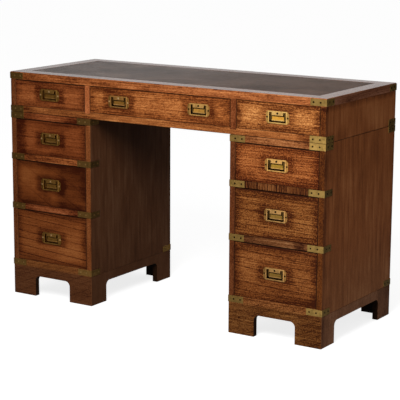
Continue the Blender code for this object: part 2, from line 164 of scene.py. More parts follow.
class Paint:
    """One material, with short calls that build its nodes."""

    def __init__(self, name):
        self.material = bpy.data.materials.new(name)
        self.material.use_nodes = True
        self.tree = self.material.node_tree
        self.shader = self.tree.nodes["Principled BSDF"]
        self.coordinates = self.add("ShaderNodeTexCoord")
        self.position = self.coordinates.outputs["Object"]

    def add(self, kind, inputs=(), **settings):
        """A new node with its settings and its inputs, as a dictionary or (socket, value) pairs."""
        node = self.tree.nodes.new(kind)
        for key, value in settings.items():
            setattr(node, key, value)
        for socket, value in dict(inputs).items():
            self.feed(node.inputs[socket], value)
        return node

    def feed(self, socket, value):
        """Link a socket to another node's output, or set it to a plain value."""
        if isinstance(value, bpy.types.NodeSocket):
            self.tree.links.new(value, socket)
        else:
            socket.default_value = value

    def math(self, operation, *values):
        return self.add("ShaderNodeMath", enumerate(values), operation=operation).outputs[0]

    def vector(self, operation, *values):
        node = self.add("ShaderNodeVectorMath", enumerate(values), operation=operation)
        return node.outputs["Value" if operation == "LENGTH" else "Vector"]

    def split(self, vector):
        """The parts of a vector by their axis."""
        return dict(zip("xyz", self.add("ShaderNodeSeparateXYZ", [(0, vector)]).outputs))

    def swizzle(self, vector, order):
        """The same vector with its axes in another order, such as zxy."""
        parts = self.split(vector)
        ordered = [parts[axis] for axis in order]
        return self.add("ShaderNodeCombineXYZ", enumerate(ordered)).outputs[0]

    def mapped(self, vector, scale, offset):
        inputs = {"Vector": vector, "Scale": scale, "Location": offset}
        return self.add("ShaderNodeMapping", inputs).outputs[0]

    def noise(self, vector, scale=1.0, detail=2.0, roughness=0.5, distortion=0.0):
        names = ("Vector", "Scale", "Detail", "Roughness", "Distortion")
        inputs = zip(names, (vector, scale, detail, roughness, distortion))
        return self.add("ShaderNodeTexNoise", inputs).outputs["Fac"]

    def step(self, value, start, end, low=0.0, high=1.0):
        """A smooth step from low to high as the value goes from start to end."""
        names = ("Value", "From Min", "From Max", "To Min", "To Max")
        inputs = zip(names, (value, start, end, low, high))
        return self.add("ShaderNodeMapRange", inputs, interpolation_type="SMOOTHSTEP").outputs[0]

    def ramp(self, value, stops):
        """A colour ramp from (place, linear colour) stops."""
        node = self.add("ShaderNodeValToRGB", [(0, value)])
        elements = node.color_ramp.elements
        while len(elements) < len(stops):
            elements.new(1.0)
        for element, (place, colour) in zip(elements, stops):
            element.position = place
            element.color = (*colour, 1.0)
        return node.outputs[0]

    def mix(self, mask, first, second):
        """The first colour or vector where the mask is 0 and the second where it is 1."""
        inputs = ((0, mask), (6, first), (7, second))
        return self.add("ShaderNodeMix", inputs, data_type="RGBA").outputs[2]

    def finish(self, looks, relief, bump):
        """The material, with its looks by input, and a relief with its strength and height."""
        inputs = zip(("Height", "Strength", "Distance"), (relief, *bump))
        looks["Normal"] = self.add("ShaderNodeBump", inputs).outputs[0]
        for key, value in looks.items():
            self.feed(self.shader.inputs[key], value)
        return self.material

    def centred(self, value):
        """A value from 0 to 1, moved to lie about 0."""
        return self.math("SUBTRACT", value, 0.5)

    def sum(self, start, *terms):
        """A starting value plus weighted terms, each (weight, socket)."""
        total = start
        for weight, socket in terms:
            total = self.math("MULTIPLY_ADD", socket, weight, total)
        return total

    def edge_distance(self, low, high):
        """Distance from a point on a box-shaped board to the nearest edge of the box."""
        gaps = []
        for part, start, end in zip(self.split(self.position).values(), low, high):
            from_start = self.math("SUBTRACT", part, start)
            from_end = self.math("SUBTRACT", end, part)
            gaps.append(self.math("MINIMUM", from_start, from_end))
        lesser = self.math("MINIMUM", gaps[0], gaps[1])
        greater = self.math("MAXIMUM", gaps[0], gaps[1])
        return self.math("MAXIMUM", lesser, self.math("MINIMUM", greater, gaps[2]))

    def window_distance(self, centre, half):
        """Distance from a point to a box, 0 inside it."""
        away = self.vector("ABSOLUTE", self.vector("SUBTRACT", self.position, centre))
        outside = self.vector("MAXIMUM", self.vector("SUBTRACT", away, half), (0, 0, 0))
        return self.vector("LENGTH", outside)


# A board's grain: the spacing of its growth rings, how far the tree's heart lies behind and above the
# middle of the board, how it tilts and dives, how wavy the rings are, how strong their lines, the flecks
# and the long streaks are, the streaks' frequency along and across, how far the lines fade in patches, and
# how strong the broad bands are
Figure = namedtuple(
    "Figure",
    "spacing behind above tilt dive waves lines flecks streaks run fine patchy bands",
    defaults=(1.0, 6, 300, 0.30, 0.20),
)
PLAIN = Figure(0.012, 0.15, 0.06, 0, 1.0, 2.5, 0.15, 1.0)
INSIDE = PLAIN._replace(flecks=0.35, streaks=0.40)
RAIL = PLAIN._replace(lines=0.20, flecks=0.85, streaks=0.90, bands=0.70)
CROSSED = RAIL._replace(streaks=2.6, run=20, fine=330)
UPRIGHT = Figure(0.03, 0.15, 0.9, 0.6, 1.0, 7.0, 0.16, 0.22, 0.38, 9, 100, 0.8)

# A darker patch, or a lighter one where the strength is negative: its place from the board's middle, the
# half sizes of its core, its fade and strength, and on an end its place along Y and half depth. Some are
# stains and some are painted shade
Stain = namedtuple("Stain", "x z half_x half_z fade strength y half_y", defaults=(None, 0.02))

# Ring lines: their stretch along the grain, the spacing of a wave texture of scale 1, how ragged they are,
# and where in a ring the line starts and is full
GRAIN_STRETCH = 7.0
WAVE_SPACING = math.pi / 10
RING_DETAIL = 3.0
RING_DETAIL_SCALE = 0.8
RING_LINE = (0.82, 0.98)

# Noise as frequencies along the grain, into the board and across it, and its shift from seed to seed
FLECKS = (220, 340, 340)
FIBRES = (24, 900, 900)
PORES = (60, 640, 640)
RIBBONS = (11, 60, 60)
MOTTLES = (5, 13, 13)
WOOD_SHIFT = (1.7, 2.9, 4.3)

# Where pores start and are full, and where ring lines fade in patches and breaks
PORE_LIMITS = (0.56, 0.7)
PATCH_LIMITS = (0.4, 0.58)
PATCH_FULL = 1.1
BREAK_LIMITS = (0.3, 0.55)
BREAK_SHARE = 0.55

# Weights of the noise in the shade, in the roughness (flecks, mottle) and in the relief (fibres, flecks,
# lines), and the relief's strength and height
FIBRE_WEIGHT = 0.4
PORE_WEIGHT = -0.4
STREAK_WEIGHT = 1.1
MOTTLE_WEIGHT = 0.55
WOOD_SHEEN = (-0.14, -0.08)
WOOD_RELIEF = (0.5, 0.4, -0.5)
WOOD_BUMP = (0.25, 0.0004)

# Shares of a tone in its darkest and palest grain, and the burnish, the dirt with painted shade in the gaps,
# and the wear over it, with their reach from an edge
DARK = (0.2, 0.12, 0.08)
PALE = (1.9, 2.5, 3.2)
BURNISH_REACH = (0.006, 0.04)
BURNISH_RAGGED = 0.016
DIRT_AND_SHADE = (34, 17, 9)
DIRT_AND_SHADE_REACH = (0.001, 0.0034)
DIRT_AND_SHADE_RAGGED = 0.0016
WORN = (186, 118, 70)
WEAR_REACH = (0.0004, 0.0026)
WEAR_PATCHES = (0.4, 0.6)
WEAR_FADE = (-0.1, 0.0)

# Parts of a board's grain, and their weighted sum
Grain = namedtuple("Grain", "line fleck fibre ribbon mottle figured")


def ring_lines(paint, board, figure, seed):
    """Dark lines where the growth rings meet a board's face."""
    heart = {
        "Vector": board,
        "Location": (seed, figure.behind, figure.above),
        "Rotation": (0, math.radians(figure.tilt), math.radians(figure.dive)),
        "Scale": (GRAIN_STRETCH, 1, 1),
    }
    rings = {
        "Vector": paint.add("ShaderNodeMapping", heart, vector_type="TEXTURE").outputs[0],
        "Scale": WAVE_SPACING / figure.spacing,
        "Distortion": figure.waves,
        "Detail": RING_DETAIL,
        "Detail Scale": RING_DETAIL_SCALE,
    }
    wave = paint.add("ShaderNodeTexWave", rings, wave_type="RINGS", rings_direction="X",
                     wave_profile="SAW")
    return paint.step(wave.outputs["Fac"], *RING_LINE)


def wood_grain(paint, board, figure, seed):
    """The grain of a board, whose axes run along the grain, into the board and across it."""
    shift = scaled(WOOD_SHIFT, [seed] * 3)

    def stretched(frequencies, **settings):
        return paint.noise(paint.mapped(board, frequencies, shift), **settings)

    line = ring_lines(paint, board, figure, seed)
    fleck = stretched(FLECKS, detail=1.0)
    fibre = stretched(FIBRES, roughness=0.6)
    pore = paint.step(stretched(PORES, detail=1.0), *PORE_LIMITS)
    ribbon = stretched(RIBBONS, distortion=0.4)
    mottle = stretched(MOTTLES, distortion=0.6)
    streak = stretched((figure.run, figure.fine, figure.fine), detail=1.0, distortion=0.3)
    patches = paint.step(mottle, *PATCH_LIMITS, 1.0 - figure.patchy, PATCH_FULL)
    breaks = paint.step(ribbon, *BREAK_LIMITS, BREAK_SHARE, 1.0)
    broken = paint.math("MULTIPLY", line, paint.math("MULTIPLY", breaks, patches))
    figured = paint.sum(
        0.0,
        (figure.flecks, paint.centred(fleck)),
        (FIBRE_WEIGHT * figure.flecks, paint.centred(fibre)),
        (PORE_WEIGHT * figure.flecks, pore),
        (STREAK_WEIGHT * figure.streaks, paint.centred(streak)),
        (-figure.lines, broken),
    )
    return Grain(line, fleck, fibre, ribbon, mottle, figured)


def stain_term(paint, stain, centre, ribbon):
    """What a stain adds to a board's shade, as a weight and a ragged mask."""
    middle_y = FRONT if stain.y is None else centre.y + stain.y
    core = (centre.x + stain.x, middle_y, centre.z + stain.z)
    near = paint.window_distance(core, (stain.half_x, stain.half_y, stain.half_z))
    ragged = paint.math("MULTIPLY_ADD", paint.centred(ribbon), stain.fade, near)
    return -stain.strength, paint.step(ragged, 0.0, stain.fade, 1.0, 0.0)


def dirtied_and_shaded(paint, colour, box, place, in_front, ribbon, dirt_and_shade):
    """A board's colour darkened along the sides of its front, along its foot and along its top: dirt, with
    painted shade where the gaps lie in shadow.
    """
    low, high = box
    height = paint.split(paint.position)["z"]
    off_middle = paint.math("ABSOLUTE", paint.split(place)["x"])
    gaps = (
        paint.math("SUBTRACT", (high.x - low.x) / 2, off_middle),
        paint.math("SUBTRACT", height, low.z),
        paint.math("SUBTRACT", high.z, height),
    )
    for amount, gap, mask in zip(dirt_and_shade, gaps, (in_front, 1.0, 1.0)):
        if amount:
            ragged = paint.math("MULTIPLY_ADD", ribbon, DIRT_AND_SHADE_RAGGED, gap)
            dirty_and_shaded = paint.math("MULTIPLY", paint.step(ragged, *DIRT_AND_SHADE_REACH, amount, 0.0), mask)
            colour = paint.mix(dirty_and_shaded, colour, (*linear(DIRT_AND_SHADE), 1.0))
    return colour


def worn(paint, colour, edge, ribbon, wear, all_round):
    """A board's colour with its arrises bare in patches, all round or only toward the front."""
    patches = paint.step(ribbon, *WEAR_PATCHES)
    bare = paint.math("MULTIPLY", paint.step(edge, *WEAR_REACH, wear, 0.0), patches)
    if not all_round:
        depth = paint.split(paint.position)["y"]
        bare = paint.math("MULTIPLY", bare, paint.step(depth, *WEAR_FADE, 1.0, 0.0))
    return paint.mix(bare, colour, (*linear(WORN), 1.0))


def wood(name, tone, box, order, seed, figure, zones=(), stains_and_shade=(), burnish=0.0, dirt_and_shade=(0, 0, 0),
         wear=0.0, ends=None, front_flecks=0.0, specular=0.09, roughness=0.54):
    """Polished wood. The order has the axis along the grain, the one into the board and the one across.

    Zones are (axis, limit, fade, below, tone) for faces of another tone. Burnish darkens a board toward
    its edges. Ends are (order, share) for a board whose ends have their own grain, with a share of the
    contrast: it is worn all round, other boards in front. Front flecks lie on the front edge only.
    """
    paint = Paint(name)
    low, high = box
    centre = (low + high) / 2
    place = paint.vector("SUBTRACT", paint.position, centre)
    parts = paint.split(paint.position)
    in_front = paint.math("LESS_THAN", parts["y"], STILE)
    edge = paint.edge_distance(low, high)
    board = paint.swizzle(place, order)
    contrast = 1.0
    if ends:
        end_order, share = ends
        depths = paint.vector("SUBTRACT", (high - low) / 2, paint.vector("ABSOLUTE", place))
        depth = paint.split(depths)
        at_end = paint.math("LESS_THAN", depth["x"], depth["y"])
        board = paint.mix(at_end, board, paint.swizzle(place, end_order))
        contrast = paint.math("MULTIPLY_ADD", at_end, share - 1.0, 1.0)
    grain = wood_grain(paint, board, figure, seed)

    terms = [
        (contrast, grain.figured),
        (figure.bands, paint.centred(grain.ribbon)),
        (MOTTLE_WEIGHT, paint.centred(grain.mottle)),
    ]
    if front_flecks:
        terms.append((front_flecks, paint.math("MULTIPLY", paint.centred(grain.fleck), in_front)))
    if burnish:
        rim = paint.math("MULTIPLY_ADD", grain.mottle, BURNISH_RAGGED, edge)
        terms.append((-burnish, paint.step(rim, *BURNISH_REACH, 1.0, 0.0)))
    terms += [stain_term(paint, stain, centre, grain.ribbon) for stain in stains_and_shade]
    shade = paint.sum(0.5, *terms)

    def tinted(colour):
        middle = linear(colour)
        stops = [(0.0, scaled(middle, DARK)), (0.5, middle), (1.0, scaled(middle, PALE))]
        return paint.ramp(shade, stops)

    colour = tinted(tone)
    for axis, limit, fade, below, zone_tone in zones:
        shares = (1.0, 0.0) if below else (0.0, 1.0)
        mask = paint.step(parts[axis], limit - fade, limit + fade, *shares)
        colour = paint.mix(mask, colour, tinted(zone_tone))
    colour = dirtied_and_shaded(paint, colour, box, place, in_front, grain.ribbon, dirt_and_shade)
    if wear:
        colour = worn(paint, colour, edge, grain.ribbon, wear, bool(ends))

    rough = paint.sum(roughness, *zip(WOOD_SHEEN, (grain.fleck, grain.mottle)))
    relief = paint.sum(0.0, *zip(WOOD_RELIEF, (grain.fibre, grain.fleck, grain.line)))
    looks = {"Base Color": colour, "Roughness": rough, "Specular IOR Level": specular}
    return paint.finish(looks, relief, WOOD_BUMP)


# Brass: tarnish and rubbing marks with their weights in the shade, the roughness and the relief, shares of
# a tone where it is dull and bright, places of dull, plain and bright, and how far a face turns sideways to
# get its side tone of painted light and shade
TARNISH = (70, 70, 70)
RUBBING = (120, 900, 1300)
BRASS_SHIFT = (1.3, 2.1, 3.7)
BRASS_WEIGHTS = (0.9, 0.35)
BRASS_ROUGHNESS = 0.46
BRASS_SHEEN = (-0.24, 0.1)
BRASS_RELIEF = (0.5, 0.5)
BRASS_BUMP = (0.12, 0.0003)
DULL = (0.4, 0.42, 0.4)
BRIGHT = (1.3, 1.32, 1.4)
BRASS_PLACES = (0.15, 0.5, 0.85)
SIDEWAYS = (0.6, 0.9)


def brass(name, tone, seed, painted_light_and_grime=(), side_tone=None):
    """Aged brass with tarnish in patches and fine rubbing marks.

    Painted light and grime are (axis, centre, start, end, tone): each tone grows between two distances from
    a centre along an axis, as painted shade, painted highlight and grime. A side tone paints light and shade
    on the faces turned left and right.
    """
    paint = Paint(name)
    shift = scaled(BRASS_SHIFT, [seed] * 3)
    patch = paint.noise(paint.mapped(paint.position, TARNISH, shift), detail=3.0, roughness=0.6)
    rub = paint.noise(paint.mapped(paint.position, RUBBING, shift), roughness=0.6)
    shade = paint.sum(0.5, *zip(BRASS_WEIGHTS, (paint.centred(patch), paint.centred(rub))))

    def tarnished(colour):
        middle = linear(colour)
        shades = (scaled(middle, DULL), middle, scaled(middle, BRIGHT))
        return paint.ramp(shade, list(zip(BRASS_PLACES, shades)))

    colour = tarnished(tone)
    if side_tone:
        sideways = paint.math("ABSOLUTE", paint.split(paint.coordinates.outputs["Normal"])["x"])
        colour = paint.mix(paint.step(sideways, *SIDEWAYS), colour, tarnished(side_tone))
    parts = paint.split(paint.position)
    for axis, centre, start, end, light_and_grime_tone in painted_light_and_grime:
        away = paint.math("ABSOLUTE", paint.math("SUBTRACT", parts[axis], centre))
        colour = paint.mix(paint.step(away, start, end), colour, tarnished(light_and_grime_tone))
    rough = paint.sum(BRASS_ROUGHNESS, *zip(BRASS_SHEEN, (patch, rub)))
    relief = paint.sum(0.0, *zip(BRASS_RELIEF, (patch, rub)))
    looks = {"Base Color": colour, "Roughness": rough, "Metallic": 1.0}
    return paint.finish(looks, relief, BRASS_BUMP)


# Leather: its noise, with weights in the shade (creases, clouds, fine grain), the roughness (creases,
# clouds, shaded end) and the relief (creases, fine grain), its tone with shares of it, and where along X it
# turns to a darker copy of painted shade toward the right end
PEBBLES = 620.0
CLOUDS = 7.0
FINE_GRAIN = 260.0
CREASE_LIMITS = (0.02, 0.16)
LEATHER_START = 0.36
LEATHER_WEIGHTS = (0.25, 1.1, 1.2)
LEATHER_ROUGHNESS = 0.6
LEATHER_SHEEN = (-0.08, -0.16, 0.14)
LEATHER_SPECULAR = 0.17
LEATHER_RELIEF = (0.5, 0.8)
LEATHER_BUMP = (0.7, 0.0006)
LEATHER_TONE = (66, 48, 37)
LEATHER_DARK = (0.25, 0.25, 0.25)
LEATHER_PALE = (2.6, 2.4, 2.2)
SHADED_END = (0.8, 0.76, 0.68)
LEATHER_SHADE_SPAN = (-0.3, 0.55)


def leather():
    """Dark leather with a fine pebbled grain, paler where it is rubbed, and darker toward its right end as
    painted shade.
    """
    paint = Paint("leather")
    pebbles = {"Vector": paint.position, "Scale": PEBBLES}
    cells = paint.add("ShaderNodeTexVoronoi", pebbles, feature="DISTANCE_TO_EDGE")
    crease = paint.step(cells.outputs["Distance"], *CREASE_LIMITS)
    cloud = paint.noise(paint.position, CLOUDS, detail=3.0, roughness=0.55, distortion=0.4)
    fine = paint.noise(paint.position, FINE_GRAIN)
    shades = (crease, paint.centred(cloud), paint.centred(fine))
    shade = paint.sum(LEATHER_START, *zip(LEATHER_WEIGHTS, shades))
    middle = linear(LEATHER_TONE)
    dark = scaled(middle, LEATHER_DARK)
    pale = scaled(middle, LEATHER_PALE)
    grained = paint.ramp(shade, [(0.0, dark), (0.5, middle), (1.0, pale)])
    shaded = paint.ramp(shade, [(0.0, scaled(dark, SHADED_END)), (1.0, scaled(pale, SHADED_END))])
    shaded_right = paint.step(paint.split(paint.position)["x"], *LEATHER_SHADE_SPAN)
    colour = paint.mix(shaded_right, grained, shaded)
    rough = paint.sum(LEATHER_ROUGHNESS, *zip(LEATHER_SHEEN, (crease, cloud, shaded_right)))
    relief = paint.sum(0.0, *zip(LEATHER_RELIEF, (crease, fine)))
    looks = {"Base Color": colour, "Roughness": rough, "Specular IOR Level": LEATHER_SPECULAR}
    return paint.finish(looks, relief, LEATHER_BUMP)


def finish_node(name, material, width=FINE_EDGE):
    """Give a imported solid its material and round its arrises."""
    node = nodes[name]
    node.material_slots[0].material = material
    weld = node.modifiers.new("weld", "WELD")
    weld.merge_threshold = WELD_DISTANCE
    bevel = node.modifiers.new("round", "BEVEL")
    bevel.width = width
    bevel.segments = EDGE_SEGMENTS
    bevel.limit_method = "ANGLE"
    bevel.angle_limit = EDGE_ANGLE
    bevel.use_clamp_overlap = True
    node.modifiers.new("normals", "WEIGHTED_NORMAL")


# Tones of the boards' broad faces. The ends change to another tone below a height, over a fade
END_TONE = (147, 84, 43)
END_LOW_TONE = (146, 90, 52)
END_FADE = (0.22, 0.14)
# The kneehole's sides and the plinths' inner ends are darker, partly painted shade of the kneehole
INNER_SHADED_TONE = (89, 54, 32)
BACK_TONE = (104, 58, 31)
HIDDEN_TONE = (110, 66, 38)
INSIDE_TONE = (186, 138, 88)
TOP_EDGE_TONE = (166, 93, 47)
TOP_END_TONE = (132, 81, 56)
TOP_FACE_TONE = (98, 56, 32)
PLINTH_END_TONE = (139, 92, 62)
# Painted shade under the plinths' arches and on their inner faces
ARCH_SHADE_TONE = (44, 25, 13)

# Tones of the screws, which catch the light on the left and are dark on the right
STRAP_SCREW_TONES = {"left": (200, 158, 94), "right": (34, 24, 12)}
HANDLE_SCREW_TONES = {"left": (248, 205, 142), "right": (34, 24, 12)}

# Handles by the start of their names: tones of the rim, the grip and the recess, then shades of the flange
# and the grip's edge, and the distances over which each tone grows. The left handles are darker with painted
# shade, as less light falls there. The dark recess and the duller flange are painted shade with some
# tarnish, the grip's brighter edge is a painted highlight, partly worn brass, and the bail's top and arms
# are painted shade
HANDLE_TONES = {
    "frieze_left": ((180, 130, 63), (174, 123, 54), (130, 93, 46)),
    "frieze_centre_left": ((208, 149, 80), (195, 138, 62), (76, 54, 25)),
    "frieze_centre_right": ((233, 178, 100), (224, 163, 73), (65, 48, 22)),
    "frieze_right": ((255, 203, 118), (255, 182, 72), (72, 50, 18)),
    "left": ((178, 128, 62), (170, 121, 54), (132, 95, 47)),
    "right_upper": ((244, 187, 106), (198, 154, 60), (59, 44, 17)),
    "right": ((214, 163, 97), (165, 126, 58), (61, 45, 20)),
}
FLANGE_SHADES = {"left": (0.84, 0.83, 0.74), "right": (0.82, 0.78, 0.70)}
GRIP_EDGE_SHADES = {"left": (1.26, 1.28, 1.42), "right": (1, 1, 1)}
FLANGE_DEPTH = (0.0002, 0.0005)
RECESS_DEPTH = (0.0022, 0.0046)
GRIP_EDGE = (0.0018, 0.003)
GRIP_TOP = (0.0126, 0.0134)
GRIP_SIDE = (0.0206, 0.0222)
ARM_SHARE = 0.33

# Levels of the straps from the top down, and those of a pedestal's rails with whether its back has them
LEVELS = ("top", "frieze", "top_board", "upper_dust_board", "lower_dust_board", "plinth")
RAIL_STRAPS = {"top_board": True, "upper_dust_board": False, "lower_dust_board": False}

# Straps by their corner: tones of the front leg and the side leg, and how light the front is at each level.
# These tones and levels are painted light and shade: darker on the left, where less light falls, with the
# side legs and the backs at light levels of their own. Inner corners have straps only on the pedestals.
# Sides go by the level, and at the back by the corner too
BACK_SHARE = 0.88
BACK_SHARES = {"left_inner": 1.25}
SIDE_LEVELS = dict(zip(LEVELS, (1.18, 1.08, 1.08, 0.90, 0.96, 1.08)))
STRAPS = {
    "left_outer": ((146, 108, 54), (148, 113, 56), dict(zip(LEVELS, (1.04, 1.01, 1.02, 1.03, 1.08, 1.03)))),
    "left_inner": ((150, 110, 57), (157, 119, 61), dict(zip(LEVELS[2:], (0.93, 1.00, 1.06, 1.16)))),
    "right_inner": ((173, 136, 73), (157, 119, 61), dict(zip(LEVELS[2:], (0.94, 1.00, 0.95, 0.97)))),
    "right_outer": ((184, 147, 80), (173, 138, 73), dict(zip(LEVELS, (0.87, 1.00, 1.08, 0.91, 0.88, 1.00)))),
}

# Tones of the boards' front edges, which show as stiles and rails
FACE_TONES = {
    "frieze_left_end": (112, 58, 26),
    "frieze_left_divider": (178, 99, 54),
    "frieze_right_divider": (119, 60, 28),
    "frieze_right_end": (114, 60, 23),
    "left_pedestal_outer_side": (108, 56, 25),
    "left_pedestal_inner_side": (129, 70, 33),
    "right_pedestal_inner_side": (103, 53, 25),
    "right_pedestal_outer_side": (109, 58, 21),
    "frieze_bottom_board": (166, 97, 48),
    "left_pedestal_top_board": (143, 74, 36),
    "right_pedestal_top_board": (161, 98, 54),
    "left_pedestal_upper_dust_board": (164, 91, 45),
    "right_pedestal_upper_dust_board": (100, 53, 22),
    "left_pedestal_lower_dust_board": (136, 70, 35),
    "right_pedestal_lower_dust_board": (122, 74, 40),
    "left_pedestal_plinth": (128, 74, 34),
    "right_pedestal_plinth": (145, 86, 42),
}

# Tones and grain of the drawer fronts. The tones are lighter toward the right, partly painted light from
# the lamp on that side
FRONTS = {
    "frieze_left": ((152, 81, 39), Figure(0.014, 0.08, 0.12, 0.5, 1.0, 1.2, 0.22, 0.7, 0.7)),
    "frieze_centre": ((161, 90, 42), Figure(0.013, 0.1, 0.09, -0.3, 1.5, 1.4, 0.25, 1.0)),
    "frieze_right": ((173, 104, 51), Figure(0.012, 0.1, 0.12, 0.3, 1.0, 1.6, 0.22, 1.2, 1.1)),
    "left_upper": ((132, 66, 29), Figure(0.016, 0.08, 0.12, 1.0, 1.0, 1.4, 0.2, 0.6, 0.5)),
    "left_middle": ((122, 62, 25), Figure(0.06, 0.05, -0.06, 28.0, 6.0, 6.0, 0.12, 0.35, 0.25)),
    "left_lower": ((133, 70, 30), Figure(0.025, 0.06, 0.15, 4.0, 1.5, 1.6, 0.5, 0.7, 0.5)),
    "right_upper": ((142, 74, 32), Figure(0.013, 0.1, 0.12, 0.3, 1.0, 1.8, 0.28, 2.0, 1.5)),
    "right_middle": ((129, 72, 30), Figure(0.014, 0.08, 0.12, 0.6, 1.5, 2.6, 0.4, 2.0, 1.2)),
    "right_lower": ((131, 72, 31), Figure(0.023, 0.09, 0.15, 2.0, 2.0, 2.6, 0.5, 1.4, 1.0)),
}
DRAWER_STAINS = {
    "frieze_centre": [
        Stain(0.02, 0.004, 0.06, 0.018, 0.11, -0.1),
        Stain(-0.24, 0, 0.01, 0.02, 0.05, -0.08),
    ],
    "frieze_right": [Stain(-0.075, 0, 0.03, 0.016, 0.05, -0.12)],
    "left_upper": [Stain(-0.125, 0, 0.006, 0.05, 0.026, 0.4)],
    "left_middle": [
        Stain(0.085, -0.01, 0.03, 0.06, 0.05, 0.24),
        Stain(-0.035, -0.032, 0.01, 0.004, 0.018, 0.16),
        Stain(-0.018, -0.048, 0.01, 0.006, 0.018, 0.2),
        Stain(-0.09, -0.05, 0.04, 0.006, 0.03, 0.12),
        Stain(-0.09, 0.035, 0.02, 0.016, 0.05, -0.1),
    ],
    "left_lower": [Stain(0.08, -0.02, 0.024, 0.04, 0.05, -0.12)],
    "right_upper": [
        Stain(-0.08, 0.01, 0.02, 0.026, 0.05, -0.12),
        Stain(0, -0.038, 0.06, 0.006, 0.024, -0.24),
    ],
    "right_lower": [Stain(-0.07, 0, 0.026, 0.046, 0.05, -0.08)],
}

# A dark halo round each handle, with a glow on either side. Burnish and glow go by a front's side of the
# desk, which is the right where its middle lies beyond a place
HALO = Stain(0, 0, 0.05, 0.014, 0.024, 0.38)
HALO_STRENGTHS = {"frieze_right": 0.20, "right_upper": 0.30}
GLOW = Stain(0.095, 0.004, 0.01, 0.014, 0.05, 0)
FIELD_SHADES = {"left": (0.30, 0.06), "right": (0.40, 0.12)}
RIGHT_FIELD = 0.2

# Dirt at the sides, foot and top of the boards, with painted shadow in the gaps: darkest along a
# drawer's top and a rail's foot, where the gap under a rail lies in shadow
DRAWER_DIRT_AND_SHADE = (0.7, 0.15)
USUAL_TOP_DIRT_AND_SHADOW = 0.85
TOP_DIRT_AND_SHADOW = {"frieze_right": 0.20, "frieze_centre": 0.60}
RAIL_DIRT_AND_SHADOW = (0, 0.75, 0.45)
FRIEZE_DIRT_AND_SHADE = (0.65, 0.8, 0)
PEDESTAL_DIRT_AND_SHADE = (0.5, 0, 0.6)

# Seeds, so that no two boards or bails have the same grain
BOX_SEED = 20
CASE_SEED = 40
BACK_SEED = 70
TOP_SEED = 90
BAIL_SEED = 30

# Darker and lighter patches on the top and the other boards. SHADED_LEFT is painted shade toward the
# left end, where less light falls
SHADED_LEFT = Stain(-0.55, 0, 0.05, 0.02, 0.45, 0.12)
TOP_STAINS_AND_SHADE = [SHADED_LEFT._replace(strength=0.17), Stain(0.42, 0, 0.08, 0.02, 0.2, -0.07)]
BOARD_STAINS_AND_SHADE = {
    "frieze_bottom_board": [SHADED_LEFT, Stain(0.42, 0, 0.08, 0.02, 0.15, 0.07)],
    "right_pedestal_lower_dust_board": [Stain(0.085, 0, 0.012, 0.011, 0.012, 0.3)],
    "right_pedestal_plinth": [
        Stain(-0.125, -0.01, 0.025, 0.02, 0.05, -0.14),
        Stain(0.14, -0.02, 0.02, 0.03, 0.05, 0.2),
        Stain(0.14, -0.02, 0.04, 0.06, 0.04, 0.25, 0.21, 0.04),
        Stain(0.168, -0.02, 0.001, 0.06, 0.014, -0.08, -0.19, 0.03),
    ],
    "frieze_right_end": [
        Stain(0, 0, 0.02, 0.014, 0.06, -0.15, 0.11, 0.05),
        Stain(0, -0.05, 0.02, 0.004, 0.04, 0.14, -0.16, 0.04),
        # Painted shadow under the top, with some dirt, along the top of the frieze end
        Stain(0, 0.057, 0.02, 0.003, 0.022, 0.26, 0, 0.24),
        Stain(0, 0, 0.02, 0.06, 0.012, 0.2, -0.234, 0.002),
    ],
    "right_pedestal_outer_side": [
        Stain(0, 0.25, 0.02, 0.02, 0.14, 0.13, -0.06, 0.12),
        Stain(0, 0, 0.02, 0.3, 0.02, 0.12, 0.232, 0.004),
        Stain(0, 0, 0.02, 0.3, 0.012, 0.2, -0.234, 0.002),
    ],
}
RAIL_END = Stain(0, 0, 0.004, 0.02, 0.045, 0.22)
CROSS_GRAINED = ("right_pedestal_upper_dust_board",)

# Tones of the plinths' feet and backs, and the plinths' grain
PLINTHS = {
    "left_pedestal_plinth": ((96, 54, 28), Figure(0.024, 0.05, 0.1, -22.0, 4.0, 3.0, 0.22, 0.7, 0.5)),
    "right_pedestal_plinth": ((114, 66, 28), Figure(0.024, 0.05, 0.1, -22.0, 4.0, 3.0, 0.3, 1.6, 1.0)),
}


def handle_stains(name, middle_x, glow):
    """Stains round the handles of a drawer whose middle is given."""
    stains_and_shade = []
    for plate in nodes:
        if plate.startswith(name) and plate.endswith("handle_plate"):
            low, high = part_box(plate)
            away = (low.x + high.x) / 2 - middle_x
            stains_and_shade.append(HALO._replace(x=away, strength=HALO_STRENGTHS.get(name, HALO.strength)))
            for way in (-1, 1):
                stains_and_shade.append(GLOW._replace(x=away + way * GLOW.x, z=-way * GLOW.z, strength=-glow))
    return stains_and_shade


def dress_drawers():
    """Drawer fronts, each from its own board, with pale boxes behind them."""
    for seed, (name, (tone, figure)) in enumerate(FRONTS.items()):
        front = f"{name}_drawer_front"
        low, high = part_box(front)
        middle_x = (low.x + high.x) / 2
        burnish, glow = FIELD_SHADES["right" if middle_x > RIGHT_FIELD else "left"]
        stains_and_shade = DRAWER_STAINS.get(name, []) + handle_stains(name, middle_x, glow)
        dirt_and_shade = (*DRAWER_DIRT_AND_SHADE, TOP_DIRT_AND_SHADOW.get(name, USUAL_TOP_DIRT_AND_SHADOW))
        polished = wood(front, tone, (low, high), "xyz", seed, figure, stains_and_shade=stains_and_shade, burnish=burnish,
                        dirt_and_shade=dirt_and_shade)
        finish_node(front, polished, DRAWER_EDGE)
        inside = f"{name}_drawer_box"
        pale = wood(inside, INSIDE_TONE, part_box(inside), "yxz", seed + BOX_SEED, INSIDE)
        finish_node(inside, pale)


